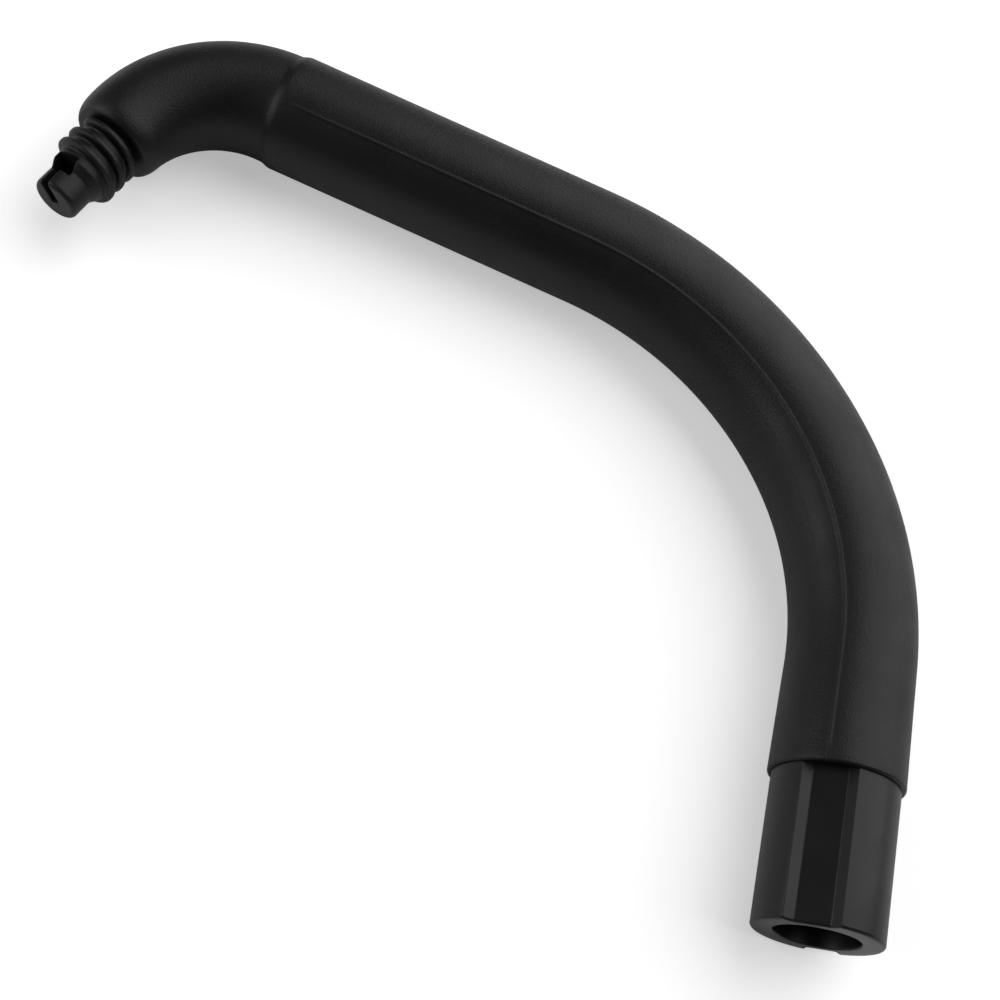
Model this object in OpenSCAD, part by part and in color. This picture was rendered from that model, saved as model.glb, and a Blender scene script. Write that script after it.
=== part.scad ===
// Wrap-round front handlebar of a small petrol chainsaw.
// One hollow moulding: a plain spigot, a long bent grip, a tapering neck,
// and a coarse threaded end that a coil spring screws on to.
// The bar lies flat. X and Y are in the plane of its bends, Z is up.
// The origin is on the bar's axis at the shoulder where the spigot meets the grip.

/* [Grip] */
// Diameter of the grip
grip_d = 32.5; // [30:0.5:36]
// How much wider the grip gets at the shoulder
grip_flare = 0.9; // [0.4:0.1:2]
// Straight run of the grip above the shoulder
leg_len = 30; // [20:1:50]
// Radius of the main bend's lower part, to the bar's axis
low_bend_r = 99; // [85:0.5:120]
// Angle of the main bend's lower part
low_bend_a = 33; // [25:1:38]
// Radius of the main bend's upper part, to the bar's axis
top_bend_r = 109; // [90:0.5:130]
// Angle of the main bend's upper part
top_bend_a = 47; // [38:1:50]
// Length of the straight run along the top
straight_len = 93.5; // [70:0.5:130]
// Rounding of the grip's edge at the shoulder
shoulder_round = 0.8; // [0.5:0.1:1.2]

/* [Neck] */
// How much thinner the neck starts than the grip
neck_step = 1.5; // [0.8:0.1:2.5]
// Length of the slope from the grip down to the neck
neck_slope_len = 3; // [2:0.5:8]
// Diameter of the neck where its bend ends
neck_end_d = 25.6; // [24:0.2:28]
// Radius of the neck's bend, to the bar's axis
elbow_r = 34; // [28:1:45]
// Angle of the neck's bend
elbow_a = 80; // [65:1:88]
// Length of the rounded tip after the bend
tip_len = 5; // [4:0.5:8]
// How much the tip draws in at its end face, on the radius
tip_draw = 2; // [1:0.1:2.4]

/* [Thread and stub] */
// Diameter over the thread
thread_d = 19.6; // [18.6:0.1:20.4]
// Diameter of the core between the threads
core_d = 15.6; // [14.6:0.1:16.6]
// Rise of the thread in one turn
thread_pitch = 4.2; // [3.8:0.1:4.8]
// Number of turns
thread_turns = 3; // [2:0.25:3.5]
// Width of the thread's flat top
thread_top = 1.2; // [0.8:0.1:1.6]
// Diameter of the plain stub beyond the thread
stub_d = 12.9; // [11.5:0.1:14]
// Distance from the tip's end face to the end of the stub
stub_reach = 23.6; // [21.6:0.2:30]
// Rounding of the stub's end
stub_round = 1.2; // [0.6:0.1:2]
// Width of the pocket that the spring's end tang sits in
pocket_w = 8; // [6:0.5:9]
// Length of the pocket along the stub
pocket_len = 5.2; // [3.5:0.1:5.6]
// Width of the slot from the pocket out through the end
slot_w = 2.6; // [1.6:0.2:3.2]
// Angle that the pocket and slot face, from outward towards up
pocket_turn = 62; // [40:1:90]

/* [Spigot] */
// Diameter of the spigot
spigot_d = 31.3; // [29:0.1:31.6]
// Length of the spigot beyond the shoulder
spigot_len = 37.3; // [30:0.1:45]
// Rounding of the spigot's end edge
spigot_round = 0.8; // [0.4:0.1:1.2]
// Width of the upper key groove at the spigot's surface
key_mouth_w = 13.2; // [11:0.2:14]
// Width of the upper key groove's flat floor
key_floor_w = 8.3; // [6:0.1:9.4]
// Width of the lower key groove, which has upright walls
key_back_w = 9; // [7:0.2:10]
// Depth of both key grooves below the spigot's surface
key_depth = 3; // [2:0.1:3.2]
// Angle that the key grooves lean from upright towards the inside of the bends
key_turn = 25; // [0:1:40]

/* [Hollow] */
// Diameter of the hollow from the spigot's mouth to the neck
bore_d = 20.6; // [16:0.1:21]
// Diameter of the hollow inside the neck
neck_bore_d = 16; // [12:0.5:17]
// Share of the neck's bend that the hollow runs into
neck_bore_share = 0.7; // [0.3:0.05:0.8]

/* [Hidden] */
$fn = 96;

black = "#1d1e20";
bend_a = low_bend_a + top_bend_a;
end_turn = bend_a + elbow_a;
shoulder_d = grip_d + grip_flare;
neck_d = grip_d - neck_step;

// Ends of the runs and bends, each a point on the bar's axis
low_end = [0, leg_len] + curve(low_bend_r, low_bend_a);
top_end = low_end + turned(curve(top_bend_r, top_bend_a), low_bend_a);
run_end = top_end + turned([0, straight_len], bend_a);
neck_end = run_end + turned(curve(elbow_r, elbow_a), bend_a);

// Straight bands lap over the joins between bends, and stand this much clear of them
lap = 2;
lap_lift = 0.03;

// Length of the cone that closes the wide hollow where the neck's own begins
bore_over = 4;

// Neck sweep: how far it starts inside the grip, its rings and its sides
neck_lap = 5;
bend_rings = 20;
tip_rings = 7;
neck_sides = 60;

// Thread sweep: steps in a turn and the angle over which each end fades out
turn_steps = 30;
fade_a = 50;
thread_start = 0.95;
thread_steps = round(thread_turns * turn_steps);
thread_end = thread_start + thread_pitch * thread_turns;
core_end = thread_end + 0.8;
pocket_start = thread_end - 0.6;

// A vector turned about Z
function turned(v, a) = [v[0] * cos(a) - v[1] * sin(a), v[0] * sin(a) + v[1] * cos(a)];

// Where a left-hand bend ends, when it starts at the origin heading along +Y
function curve(r, a) = [r * cos(a) - r, r * sin(a)];

// Radius of the neck at a share u of its bend, 0 at the start and 1 at the end
function neck_r(u) =
    neck_d / 2 - (neck_d - neck_end_d) / 2 * (0.63 * u + 0.37 * u * u);

// Radius of the tip at a share u of its length
function tip_r(u) =
    neck_end_d / 2 - 0.25 * u - (tip_draw - 0.25) * (1 - sqrt(1 - u * u));

// The points of one ring of the neck, of radius r, round the axis at x, y with heading a
function neck_ring(x, y, a, r) =
    [for (i = [0 : neck_sides - 1])
        let (t = 360 * i / neck_sides, q = turned([r * cos(t), 0], a))
        [x + q[0], y + q[1], r * sin(t)]];

// One section across the thread at a turning angle, at height share h
function thread_section(a, h) =
    let (
        y = thread_start + thread_pitch * a / 360,
        low = core_d / 2 - 0.6,
        top = low + 0.1 + (thread_d / 2 - low - 0.1) * h,
        half = thread_top / 2,
        rim = (top - low) * 0.25
    )
    [for (p = [
            [-half - 0.7, low],
            [-half - 0.45, top - rim],
            [-half, top],
            [half, top],
            [half + 0.45, top - rim],
            [half + 0.7, low]
        ])
        [p[1] * cos(a), y + p[0], p[1] * sin(a)]];

// Height share of the thread, fading to nothing at both ends
function thread_h(a) =
    min(1, a / fade_a, (thread_turns * 360 - a) / fade_a);

// Closed skin over rings of equal count, with the rings listed in order
module skin(rings, flip = false) {
    n = len(rings[0]);
    m = len(rings);
    sides = [for (j = [0 : m - 2], i = [0 : n - 1], k = [0 : 1])
        let (p = j * n + i, q = j * n + (i + 1) % n)
        k == 0 ? [p, q, q + n] : [p, q + n, p + n]];
    caps = [[for (i = [n - 1 : -1 : 0]) i], [for (i = [0 : n - 1]) (m - 1) * n + i]];
    faces = concat(sides, caps);
    polyhedron(
        points = [for (ring = rings) each ring],
        faces = flip ? [for (f = faces) [for (i = [len(f) - 1 : -1 : 0]) f[i]]] : faces
    );
}

// Places something at a point of the axis, with +Y along the bar's heading there
module at(p, a) {
    translate([p[0], p[1], 0])
        rotate([0, 0, a])
            children();
}

// Straight run from the origin along +Y
module run(d, len) {
    rotate([-90, 0, 0])
        cylinder(d = d, h = len);
}

// Bend to the left from the origin, starting along +Y
module bend(d, r, a) {
    translate([-r, 0, 0])
        rotate_extrude(angle = a)
            translate([r, 0])
                circle(d = d);
}

// Both parts of the main bend, with a short straight band over the join
module main_bend(d) {
    at([0, leg_len], 0)
        bend(d, low_bend_r, low_bend_a);
    at(low_end - turned([0, lap / 2], low_bend_a), low_bend_a)
        run(d + 2 * lap_lift, lap);
    at(low_end, low_bend_a)
        bend(d, top_bend_r, top_bend_a);
}

// The grip below the main bend, flared and rounded at the shoulder
module grip_leg() {
    r = shoulder_d / 2;
    e = shoulder_round;
    rotate([-90, 0, 0])
        rotate_extrude() {
            polygon([[0, e], [r, e], [grip_d / 2, leg_len], [0, leg_len]]);
            square([r - e, e]);
            intersection() {
                translate([r - e, e])
                    circle(r = e, $fn = 48);
                translate([r - e, 0])
                    square([e, e]);
            }
        }
}

// The grip from its leg through the main bend and along the top
module grip() {
    d = grip_d + 2 * lap_lift;
    plain = straight_len - neck_slope_len;
    grip_leg();
    main_bend(grip_d);
    at(top_end, bend_a)
        rotate([-90, 0, 0])
            rotate_extrude()
                polygon([
                    [0, -lap],
                    [d / 2, -lap],
                    [d / 2, plain],
                    [neck_d / 2 + 0.05, straight_len],
                    [0, straight_len]
                ]);
}

// The neck, which bends and tapers from the grip to a rounded tip
module neck() {
    root = run_end - turned([0, neck_lap], bend_a);
    tip_step = turned([0, tip_len], end_turn);
    rings = concat(
        [neck_ring(root[0], root[1], bend_a, neck_d / 2 - 0.3)],
        [for (i = [0 : bend_rings])
            let (
                u = i / bend_rings,
                p = run_end + turned(curve(elbow_r, elbow_a * u), bend_a)
            )
            neck_ring(p[0], p[1], bend_a + elbow_a * u, neck_r(u))],
        [for (i = [1 : tip_rings])
            let (u = sin(90 * i / tip_rings), p = neck_end + tip_step * u)
            neck_ring(p[0], p[1], end_turn, tip_r(u))]
    );
    skin(rings);
}

// Core, thread and stub, standing along +Y from the tip's end face
module spring_end() {
    r = stub_d / 2;
    e = stub_round;
    rotate([-90, 0, 0])
        rotate_extrude() {
            translate([0, -tip_len])
                square([core_d / 2, core_end + tip_len]);
            polygon([
                [0, core_end],
                [core_d / 2, core_end],
                [r, core_end + 2.4],
                [r, stub_reach - e],
                [0, stub_reach - e]
            ]);
            translate([0, stub_reach - e])
                square([r - e, e]);
            intersection() {
                translate([r - e, stub_reach - e])
                    circle(r = e, $fn = 48);
                translate([r - e, stub_reach - e])
                    square([e, e]);
            }
        }
    skin([for (i = [0 : thread_steps])
        let (a = 360 * i / turn_steps)
        thread_section(a, thread_h(a))], flip = true);
}

// Pocket and slot for the spring's end tang
module tang_cut() {
    rotate([0, -pocket_turn, 0]) {
        translate([0.8, pocket_start, -pocket_w / 2])
            cube([core_d, pocket_len, pocket_w]);
        translate([-0.8, pocket_start + pocket_len - 1, -slot_w / 2])
            cube([stub_d, stub_reach, slot_w]);
    }
}

// The spigot, from just inside the grip to its rounded end
module spigot() {
    r = spigot_d / 2;
    e = spigot_round;
    rotate([90, 0, 0])
        rotate_extrude() {
            translate([0, -2])
                square([r, spigot_len - e + 2]);
            translate([0, spigot_len - e])
                square([r - e, e]);
            intersection() {
                translate([r - e, spigot_len - e])
                    circle(r = e, $fn = 48);
                translate([r - e, spigot_len - e])
                    square([e, e]);
            }
        }
}

// The two key grooves along the spigot, upper with sloping walls and lower square
module key_grooves() {
    r = spigot_d / 2;
    floor_z = r - key_depth;
    mouth_z = sqrt(r * r - key_mouth_w * key_mouth_w / 4);
    lean = (key_mouth_w - key_floor_w) / 2 / (mouth_z - floor_z);
    half = key_floor_w / 2;
    top_half = half + lean * (key_depth + 1);
    rotate([0, -key_turn, 0]) {
        rotate([90, 0, 0])
            linear_extrude(height = spigot_len + 1)
                polygon([
                    [-half, floor_z],
                    [half, floor_z],
                    [top_half, r + 1],
                    [-top_half, r + 1]
                ]);
        translate([-key_back_w / 2, -spigot_len - 1, -r - 1])
            cube([key_back_w, spigot_len + 1, key_depth + 1]);
    }
}

// The hollow, open at the spigot and closed inside the neck
module hollow() {
    r = bore_d / 2 + lap_lift;
    over = bore_over;
    translate([0, -spigot_len - 1, 0])
        run(bore_d, spigot_len + 1 + leg_len);
    main_bend(bore_d);
    at(top_end, bend_a)
        rotate([-90, 0, 0])
            rotate_extrude()
                polygon([
                    [0, -lap],
                    [r, -lap],
                    [r, straight_len - 2],
                    [r - over, straight_len - 2 + over],
                    [0, straight_len - 2 + over]
                ]);
    at(run_end, bend_a)
        bend(neck_bore_d, elbow_r, elbow_a * neck_bore_share);
}

// The whole moulding
module handlebar() {
    color(black)
        difference() {
            union() {
                grip();
                neck();
                at(neck_end + turned([0, tip_len], end_turn), end_turn)
                    spring_end();
                spigot();
            }
            key_grooves();
            hollow();
            at(neck_end + turned([0, tip_len], end_turn), end_turn)
                tang_cut();
        }
}

handlebar();
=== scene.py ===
# Front handlebar of a small petrol chainsaw: one hollow moulding, lying on a pale table.
# Pieces are modelled in millimetres, in the frame of the solid, and turned to metres when finished.
import math

import bmesh
import bpy
from mathutils import Matrix, Vector


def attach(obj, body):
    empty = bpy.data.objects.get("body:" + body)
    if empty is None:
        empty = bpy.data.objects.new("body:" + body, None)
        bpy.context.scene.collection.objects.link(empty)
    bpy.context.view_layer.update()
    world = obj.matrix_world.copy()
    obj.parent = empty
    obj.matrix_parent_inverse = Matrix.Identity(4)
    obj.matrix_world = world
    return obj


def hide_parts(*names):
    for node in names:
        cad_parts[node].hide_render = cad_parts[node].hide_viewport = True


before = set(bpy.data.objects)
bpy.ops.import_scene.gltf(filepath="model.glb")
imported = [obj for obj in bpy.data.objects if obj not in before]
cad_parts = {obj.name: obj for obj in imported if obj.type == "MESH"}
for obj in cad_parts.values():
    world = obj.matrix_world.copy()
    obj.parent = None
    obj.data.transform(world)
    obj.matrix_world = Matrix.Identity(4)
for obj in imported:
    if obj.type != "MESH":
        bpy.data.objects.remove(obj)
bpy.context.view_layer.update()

# Grip and neck.
# The bar's outer skin, from the shoulder through the long bend and along the top to the rounded
# tip that the thread grows out of. Black glass-filled nylon, moulded hollow in a two-part tool
# whose halves leave a fine seam along the grip, above and below.
grip_r = 16.25
shoulder_r = 16.7
shoulder_round = 0.8
leg_len = 30.0
low_bend = (99.0, 33.0)
top_bend = (109.0, 47.0)
straight_len = 93.5
neck_r = 15.5
neck_slope_len = 3.0
neck_end_r = 12.8
elbow = (34.0, 80.0)
tip_len = 5.0
tip_draw = 2.0
bore_r = 10.33
mouth_lean = 0.5
neck_bore_r = 8.0
skin_sides = 180
seam_angle = math.radians(90 + 28)
seam_height = 0.2
seam_width = 0.42
crease_gap = math.radians(21)
crease_height = 0.08


def straight(length):
    """A move straight ahead, along the bar's heading."""
    return Matrix.Translation((0, length, 0))


def curve(radius, degrees):
    """A move along a bend to the left."""
    return (Matrix.Translation((-radius, 0, 0)) @ Matrix.Rotation(math.radians(degrees), 4, "Z")
            @ Matrix.Translation((radius, 0, 0)))


def new_ring(bm, sides, place):
    """A closed ring of edges that stands across the bar at a place on its axis."""
    made = bmesh.ops.create_circle(bm, segments=sides, radius=1.0)["verts"]
    upright = place @ Matrix.Rotation(math.radians(90), 4, "X")
    bmesh.ops.transform(bm, matrix=upright, verts=made)
    return list({e for v in made for e in v.link_edges})


def extrude_ring(bm, ring):
    """Extrudes a ring where it stands, and gives the new ring's edges and its points."""
    made = bmesh.ops.extrude_edge_only(bm, edges=ring)["geom"]
    verts = [g for g in made if isinstance(g, bmesh.types.BMVert)]
    found = set(verts)
    return [g for g in made if isinstance(g, bmesh.types.BMEdge) and set(g.verts) <= found], verts


def next_ring(bm, ring, before, after):
    """Extrudes the last ring and carries it from one place on the axis to the next."""
    ring, verts = extrude_ring(bm, ring)
    bmesh.ops.transform(bm, matrix=after @ before.inverted(), verts=verts)
    return ring


def shape_ring(ring, place, radius_at):
    """Sets each point of a ring to the radius that its angle asks for."""
    back = place.inverted()
    for v in {v for e in ring for v in e.verts}:
        p = back @ v.co
        t = math.atan2(p.z, p.x)
        r = radius_at(t)
        v.co = place @ Vector((r * math.cos(t), 0, r * math.sin(t)))


def angle_gap(a, b):
    """The turn from b to a, between minus and plus half a circle."""
    return (a - b + math.pi) % (2 * math.pi) - math.pi


def crowd_ring(ring, place, angle, share):
    """Draws a ring's points together round one angle, where the fine seam needs them."""
    back = place.inverted()
    for v in {v for e in ring for v in e.verts}:
        p = back @ v.co
        gap = angle_gap(math.atan2(p.z, p.x), angle)
        t = angle + gap - share * math.sin(gap)
        v.co = place @ Vector((math.cos(t), 0, math.sin(t)))


def finish_piece(name, bm, sharp=35.0):
    """A mesh in millimetres becomes a smooth-shaded object in metres, at the origin."""
    bmesh.ops.recalc_face_normals(bm, faces=bm.faces)
    bmesh.ops.scale(bm, vec=(0.001, 0.001, 0.001), verts=bm.verts)
    mesh = bpy.data.meshes.new(name)
    bm.to_mesh(mesh)
    bm.free()
    mesh.polygons.foreach_set("use_smooth", [True] * len(mesh.polygons))
    mesh.set_sharp_from_angle(angle=math.radians(sharp))
    piece = bpy.data.objects.new(name, mesh)
    bpy.context.scene.collection.objects.link(piece)
    return piece


# stations along the axis: the place, and the radius there with the seam's share of its height
stations = []
place = Matrix.Identity(4)
for i in range(6):
    lean = math.radians(90 * i / 5)
    lift = shoulder_round * (1 - math.cos(lean))
    stations.append((straight(lift), shoulder_r - shoulder_round * (1 - math.sin(lean)), 0.0))
for i in range(1, 21):
    y = shoulder_round + (leg_len - shoulder_round) * i / 20
    stations.append((straight(y), shoulder_r + (grip_r - shoulder_r) * y / leg_len, min(1, i / 3)))
place = straight(leg_len)
for radius, degrees, steps in ((*low_bend, 36), (*top_bend, 56)):
    for i in range(1, steps + 1):
        stations.append((place @ curve(radius, degrees * i / steps), grip_r, 1.0))
    place = stations[-1][0]
plain_len = straight_len - neck_slope_len
for i in range(1, 51):
    stations.append((place @ straight(plain_len * i / 50), grip_r, min(1.0, (50 - i) / 4)))
for i in range(1, 7):
    u = i / 6
    ease = u * u * (3 - 2 * u)
    stations.append((place @ straight(plain_len + neck_slope_len * u),
                     grip_r + (neck_r - grip_r) * ease, 0.0))
place = place @ straight(straight_len)
for i in range(1, 49):
    u = i / 48
    r = neck_r - (neck_r - neck_end_r) * (0.63 * u + 0.37 * u * u)
    stations.append((place @ curve(elbow[0], elbow[1] * u), r, 0.0))
place = place @ curve(*elbow)
for i in range(1, 13):
    u = math.sin(math.radians(90 * i / 12))
    r = neck_end_r - 0.25 * u - (tip_draw - 0.25) * (1 - math.sqrt(1 - u * u))
    stations.append((place @ straight(tip_len * u), r, 0.0))
tip_place = place @ straight(tip_len)


def skin_radius(r, seam):
    """The grip's round section, with its seam above and below and a faint ridge inside each."""
    ridges = ((0, seam_height), (math.pi, seam_height),
              (crease_gap, crease_height), (math.pi - crease_gap, crease_height))

    def at(t):
        rise = 0.0
        for turn, height in ridges:
            off = angle_gap(t, seam_angle + turn) * r
            rise += height * math.exp(-(off / seam_width) ** 2)
        return r + seam * rise
    return at


skin = bmesh.new()
ring = new_ring(skin, skin_sides, stations[0][0])
crowd_ring(ring, stations[0][0], seam_angle, 0.72)
shape_ring(ring, stations[0][0], skin_radius(stations[0][1], 0))
mouth_ring = ring
for (before, _, _), (after, r, seam) in zip(stations, stations[1:]):
    ring = next_ring(skin, ring, before, after)
    shape_ring(ring, after, skin_radius(r, seam))
bmesh.ops.contextual_create(skin, geom=ring)

# the hollow inside, open at the shoulder and closed in the neck; it starts a little way in, because
# two rings in one plane can be bridged the wrong way round, which closes the mouth
hollow = [(straight(mouth_lean), bore_r), (straight(leg_len), bore_r)]
place = straight(leg_len)
for radius, degrees, steps in ((*low_bend, 12), (*top_bend, 18)):
    for i in range(1, steps + 1):
        hollow.append((place @ curve(radius, degrees * i / steps), bore_r))
    place = hollow[-1][0]
hollow.append((place @ straight(straight_len - 2), bore_r))
hollow.append((place @ straight(straight_len + 0.33), neck_bore_r))
place = place @ straight(straight_len)
for i in range(1, 13):
    hollow.append((place @ curve(elbow[0], elbow[1] * 0.7 * i / 12), neck_bore_r))
inner = new_ring(skin, 96, hollow[0][0])
shape_ring(inner, hollow[0][0], lambda t: bore_r)
inner_mouth = inner
for (before, _), (after, r) in zip(hollow, hollow[1:]):
    inner = next_ring(skin, inner, before, after)
    shape_ring(inner, after, lambda t, r=r: r)
bmesh.ops.contextual_create(skin, geom=inner)
bmesh.ops.bridge_loops(skin, edges=mouth_ring + inner_mouth)
grip = finish_piece("grip_and_neck", skin)
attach(grip, "root")
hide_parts("handlebar")

# Spigot.
# The plain end that pushes into the saw's housing, of the same moulding. Two key grooves run its
# whole length, the upper with sloping walls and the lower with upright ones, and its edges are
# softly rounded by the tool.
spigot_r = 15.65
spigot_len = 37.3
spigot_round = 0.8
spigot_lap = 1.5
mouth_round = 0.5
spigot_bore_r = 10.3
key_turn = math.radians(25)
key_depth = 3.0
upper_key = (6.6, 4.15)
lower_key = (4.5, 4.5)
spigot_sides = 480


def key_point(share, mouth, foot):
    """A point across a key groove, sideways and out from the axis, at a share from -1 to 1."""
    edge = math.sqrt(spigot_r ** 2 - mouth ** 2)
    floor = spigot_r - key_depth
    wall = math.hypot(mouth - foot, edge - floor)
    way = (1 - abs(share)) * (wall + foot)
    side = math.copysign(1, share)
    if way < wall:
        u = way / wall
        return side * (mouth + (foot - mouth) * u), edge + (floor - edge) * u
    return side * (foot - (way - wall)), floor


def groove_ring(ring):
    """Lays the points of a round ring into both key grooves where they cross it."""
    upper = math.radians(90) + key_turn
    for v in {v for e in ring for v in e.verts}:
        t = math.atan2(v.co.z, v.co.x)
        v.co.x = spigot_r * math.cos(t)
        v.co.z = spigot_r * math.sin(t)
        for middle, (mouth, foot) in ((upper, upper_key), (upper + math.pi, lower_key)):
            share = angle_gap(t, middle) / math.asin(mouth / spigot_r)
            if abs(share) < 1:
                side, out = key_point(share, mouth, foot)
                v.co.x = out * math.cos(middle) - side * math.sin(middle)
                v.co.z = out * math.sin(middle) + side * math.cos(middle)


# each row is its place along the axis and how far the end's rounding draws it in
rows = [(0.0, 0.0), (-12.0, 0.0), (-24.0, 0.0)]
for i in range(7):
    lean = math.radians(90 * i / 6)
    rows.append((-spigot_len + spigot_round * (1 - math.sin(lean)),
                 spigot_round * (1 - math.cos(lean))))
body = bmesh.new()
ring = new_ring(body, spigot_sides, straight(spigot_lap))
groove_ring(ring)
root_ring = ring
drawn = 0.0
for y, draw in rows:
    ring, verts = extrude_ring(body, ring)
    for v in verts:
        v.co -= Vector((v.co.x, 0, v.co.z)).normalized() * (draw - drawn)
        v.co.y = y
    drawn = draw
end_ring = ring
bore = []
for i in range(5):
    lean = math.radians(90 * i / 4)
    bore.append((-spigot_len + mouth_round * (1 - math.cos(lean)),
                 spigot_bore_r + mouth_round * (1 - math.sin(lean))))
bore.append((spigot_lap, spigot_bore_r))
inner = new_ring(body, 192, straight(bore[0][0]))
shape_ring(inner, straight(bore[0][0]), lambda t: bore[0][1])
inner_end = inner
for (y0, _), (y, r) in zip(bore, bore[1:]):
    inner = next_ring(body, inner, straight(y0), straight(y))
    shape_ring(inner, straight(y), lambda t, r=r: r)
bmesh.ops.bridge_loops(body, edges=end_ring + inner_end)
bmesh.ops.bridge_loops(body, edges=root_ring + inner)
spigot = finish_piece("spigot", body, 40.0)
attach(spigot, "root")

# Thread and stub.
# The end that a coil spring screws on to: a core with a coarse left-hand thread, then a plain
# stub with a pocket and a slot for the spring's bent tang. Still the same moulding, and the
# finest part of it, with every edge slightly rounded.
core_r = 7.8
thread_r = 9.8
thread_pitch = 4.2
thread_turns = 3.0
thread_top = 1.2
thread_start = 0.95
turn_steps = 60
fade = 50.0
stub_r = 6.45
stub_reach = 23.6
stub_round = 1.2
pocket_w = 8.0
pocket_len = 5.2
slot_w = 2.6
pocket_turn = 62.0
cut_reach = 20.0
thread_end = thread_start + thread_pitch * thread_turns
core_end = thread_end + 0.8
pocket_start = thread_end - 0.6

# core and stub, turned round the axis
lathe = bmesh.new()
outline = [(0.0, -3.0), (core_r, -3.0), (core_r, core_end), (stub_r, core_end + 2.4)]
for i in range(7):
    lean = math.radians(90 * i / 6)
    outline.append((stub_r - stub_round * (1 - math.cos(lean)),
                    stub_reach - stub_round * (1 - math.sin(lean))))
outline.append((0.0, stub_reach))
last = None
edges = []
for r, y in outline:
    v = lathe.verts.new((r, y, 0))
    if last:
        edges.append(lathe.edges.new((last, v)))
    last = v
bmesh.ops.spin(lathe, geom=lathe.verts[:] + edges, cent=(0, 0, 0), axis=(0, 1, 0),
               angle=2 * math.pi, steps=96, use_merge=True)
bmesh.ops.remove_doubles(lathe, verts=lathe.verts, dist=0.001)


def thread_section(angle):
    """The thread's section at an angle in degrees, sunk to nothing at both its ends."""
    share = min(1, angle / fade, (thread_turns * 360 - angle) / fade)
    low = core_r - 0.8
    top = low + 0.1 + (thread_r - low - 0.1) * share
    rim = (top - low) * 0.25
    half = thread_top / 2
    y = thread_start + thread_pitch * angle / 360
    section = ((-half - 0.7, low), (-half - 0.45, top - rim), (-half, top),
               (half, top), (half + 0.45, top - rim), (half + 0.7, low))
    a = math.radians(angle)
    return [Vector((r * math.cos(a), y + off, r * math.sin(a))) for off, r in section]


order = [lathe.verts.new(p) for p in thread_section(0)]
loop_edges = list(lathe.faces.new(order).edges)
for i in range(1, round(thread_turns * turn_steps) + 1):
    loop_edges, verts = extrude_ring(lathe, loop_edges)
    order = [min(verts, key=lambda v, o=o: (v.co - o.co).length) for o in order]
    for v, p in zip(order, thread_section(360 * i / turn_steps)):
        v.co = p
lathe.faces.new(order)
bmesh.ops.recalc_face_normals(lathe, faces=lathe.faces)
raw = bpy.data.meshes.new("spring_end_raw")
lathe.to_mesh(raw)
lathe.free()
spring_end = bpy.data.objects.new("spring_end", raw)
bpy.context.scene.collection.objects.link(spring_end)


def remesh(name, size):
    """Joins what overlaps and rounds it over, as the small radii of the tool do."""
    voxels = spring_end.modifiers.new(name, "REMESH")
    voxels.mode = "VOXEL"
    voxels.voxel_size = size


def cut_block(name, low, high):
    """Cuts a block, turned to the side that the pocket faces, out of the stub."""
    bm = bmesh.new()
    bmesh.ops.create_cube(bm, size=1.0)
    bmesh.ops.scale(bm, vec=[h - l for l, h in zip(low, high)], verts=bm.verts)
    bmesh.ops.translate(bm, vec=[(h + l) / 2 for l, h in zip(low, high)], verts=bm.verts)
    bmesh.ops.rotate(bm, cent=(0, 0, 0), verts=bm.verts,
                     matrix=Matrix.Rotation(math.radians(-pocket_turn), 3, "Y"))
    mesh = bpy.data.meshes.new(name)
    bm.to_mesh(mesh)
    bm.free()
    block = bpy.data.objects.new(name, mesh)
    bpy.context.scene.collection.objects.link(block)
    cutting = spring_end.modifiers.new(name, "BOOLEAN")
    cutting.operation = "DIFFERENCE"
    cutting.solver = "EXACT"
    cutting.object = block
    return block


remesh("join", 0.2)
blocks = [
    cut_block("pocket", (0.8, pocket_start, -pocket_w / 2),
              (cut_reach, pocket_start + pocket_len, pocket_w / 2)),
    cut_block("slot", (-0.8, pocket_start + pocket_len - 1, -slot_w / 2),
              (cut_reach, stub_reach + 5, slot_w / 2)),
]
remesh("round", 0.17)
soften = spring_end.modifiers.new("soften", "SMOOTH")
soften.factor = 0.5
soften.iterations = 3
bpy.context.view_layer.update()
made = bpy.data.meshes.new_from_object(spring_end.evaluated_get(bpy.context.evaluated_depsgraph_get()))
for old in (spring_end, *blocks):
    bpy.data.objects.remove(old)
threads = bmesh.new()
threads.from_mesh(made)
bmesh.ops.transform(threads, matrix=tip_place, verts=threads.verts)
spring_end = finish_piece("spring_end", threads, 60.0)
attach(spring_end, "root")

# Finishes.
# Black glass-filled nylon. The grip, neck and thread come out of a spark-eroded tool with a fine
# even grain, and the spigot out of a polished one, which leaves it satin and a little brighter.


def linear(code):
    """An sRGB hex colour as the linear values that a shader takes."""
    parts = [int(code[i:i + 2], 16) / 255 for i in (1, 3, 5)]
    return [c / 12.92 if c <= 0.04045 else ((c + 0.055) / 1.055) ** 2.4 for c in parts] + [1.0]


def add_node(tree, kind, settings=None, links=None):
    """Adds a node, sets its properties and sockets, and links its inputs."""
    node = tree.nodes.new(kind)
    for key, value in (settings or {}).items():
        if key in node.inputs:
            node.inputs[key].default_value = value
        else:
            setattr(node, key, value)
    for key, source in (links or {}).items():
        tree.links.new(source, node.inputs[key])
    return node


patch_mm = 14.0


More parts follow.
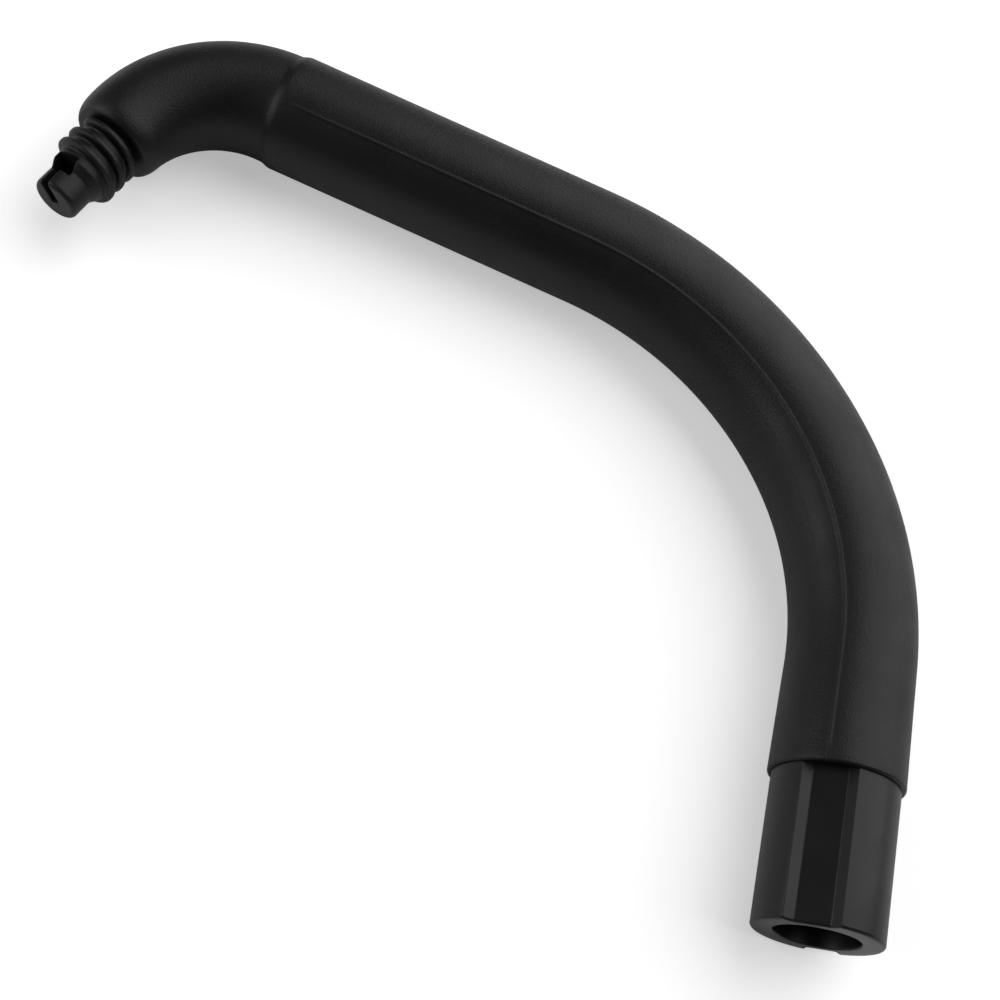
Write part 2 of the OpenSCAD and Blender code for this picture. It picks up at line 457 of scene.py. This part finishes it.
def nylon(name, colour, roughness, grain_mm, depth_mm):
    """Moulded nylon: one colour, the tool's grain as a fine bump, and a gloss that wanders."""
    material = bpy.data.materials.new(name)
    material.use_nodes = True
    tree = material.node_tree
    tree.nodes.clear()
    place = add_node(tree, "ShaderNodeTexCoord")
    grain = add_node(tree, "ShaderNodeTexNoise",
                     {"Scale": 1000 / grain_mm, "Detail": 2.0, "Roughness": 0.6},
                     {"Vector": place.outputs["Object"]})
    patches = add_node(tree, "ShaderNodeTexNoise", {"Scale": 1000 / patch_mm, "Detail": 3.0},
                       {"Vector": place.outputs["Object"]})
    gloss = add_node(tree, "ShaderNodeMapRange",
                     {"From Min": 0.3, "From Max": 0.7, "To Min": roughness - 0.05,
                      "To Max": roughness + 0.05}, {"Value": patches.outputs["Fac"]})
    bump = add_node(tree, "ShaderNodeBump", {"Strength": 1.0, "Distance": depth_mm / 1000},
                    {"Height": grain.outputs["Fac"]})
    shader = add_node(tree, "ShaderNodeBsdfPrincipled",
                      {"Base Color": linear(colour), "IOR": 1.5,
                       "Specular IOR Level": 0.3},
                      {"Roughness": gloss.outputs["Result"], "Normal": bump.outputs["Normal"]})
    add_node(tree, "ShaderNodeOutputMaterial", None, {"Surface": shader.outputs["BSDF"]})
    return material


grained = nylon("glass_filled_nylon_grained", "#0f0f10", 0.44, 0.5, 0.11)
satin = nylon("glass_filled_nylon_satin", "#121213", 0.34, 0.45, 0.02)
grip.data.materials.append(grained)
spring_end.data.materials.append(grained)
spigot.data.materials.append(satin)

# Table, light and camera.
# A matt white table under two large soft panels, to the right and to the left of the bar, and a
# camera that looks down on it at the photograph's angle.
floor_z = -16.7 / 1000
table = bmesh.new()
bmesh.ops.create_grid(table, x_segments=1, y_segments=1, size=4.0)
bmesh.ops.translate(table, vec=(0, 0, floor_z), verts=table.verts)
table_mesh = bpy.data.meshes.new("table")
table.to_mesh(table_mesh)
table.free()
table_top = bpy.data.objects.new("table", table_mesh)
bpy.context.scene.collection.objects.link(table_top)
white = bpy.data.materials.new("matt_white_card")
white.use_nodes = True
tree = white.node_tree
tree.nodes.clear()
seen = add_node(tree, "ShaderNodeLightPath")
card = add_node(tree, "ShaderNodeBsdfDiffuse", {"Color": linear("#f4f4f4")})
lift = add_node(tree, "ShaderNodeEmission", {"Color": linear("#ffffff"), "Strength": 0.42})
both = add_node(tree, "ShaderNodeAddShader")
tree.links.new(card.outputs[0], both.inputs[0])
tree.links.new(lift.outputs[0], both.inputs[1])
pick = add_node(tree, "ShaderNodeMixShader", None, {"Fac": seen.outputs["Is Camera Ray"]})
tree.links.new(card.outputs[0], pick.inputs[1])
tree.links.new(both.outputs[0], pick.inputs[2])
add_node(tree, "ShaderNodeOutputMaterial", None, {"Surface": pick.outputs[0]})
table_mesh.materials.append(white)

azimuth, elevation, roll = (math.radians(a) for a in (-7.5, 64.1, 22.1))
look = Vector((-math.cos(elevation) * math.sin(azimuth), math.cos(elevation) * math.cos(azimuth),
               -math.sin(elevation)))
aim = Vector((-0.0956, 0.0497, 0.0))
across = look.cross(Vector((0, 0, 1))).normalized()
upward = across.cross(look)
right = math.cos(roll) * across + math.sin(roll) * upward
up = -math.sin(roll) * across + math.cos(roll) * upward
camera = bpy.data.objects.new("camera", bpy.data.cameras.new("camera"))
bpy.context.scene.collection.objects.link(camera)
camera.matrix_world = Matrix((right, up, -look)).transposed().to_4x4()
camera.location = aim - look * 0.3794
camera.data.sensor_width = 36.0
camera.data.lens = 36.0 * 1.4988
bpy.context.scene.camera = camera


def soft_panel(name, where, size, power):
    """A soft square panel of light that faces the middle of the bar."""
    light = bpy.data.lights.new(name, "AREA")
    light.shape = "SQUARE"
    light.size = size
    light.energy = power
    lamp = bpy.data.objects.new(name, light)
    bpy.context.scene.collection.objects.link(lamp)
    lamp.location = aim + Vector(where)
    lamp.rotation_mode = "QUATERNION"
    lamp.rotation_quaternion = (-Vector(where)).to_track_quat("-Z", "Y")
    return lamp


soft_panel("right_panel", (0.85, 0.8, 1.15), 2.6, 38)
soft_panel("left_panel", (-1.5, -0.1, 0.8), 1.2, 10)
world = bpy.data.worlds.new("room")
bpy.context.scene.world = world
world.use_nodes = True
world.node_tree.nodes["Background"].inputs["Color"].default_value = (1, 1, 1, 1)
world.node_tree.nodes["Background"].inputs["Strength"].default_value = 0.08
bpy.context.scene.view_settings.view_transform = "Standard"
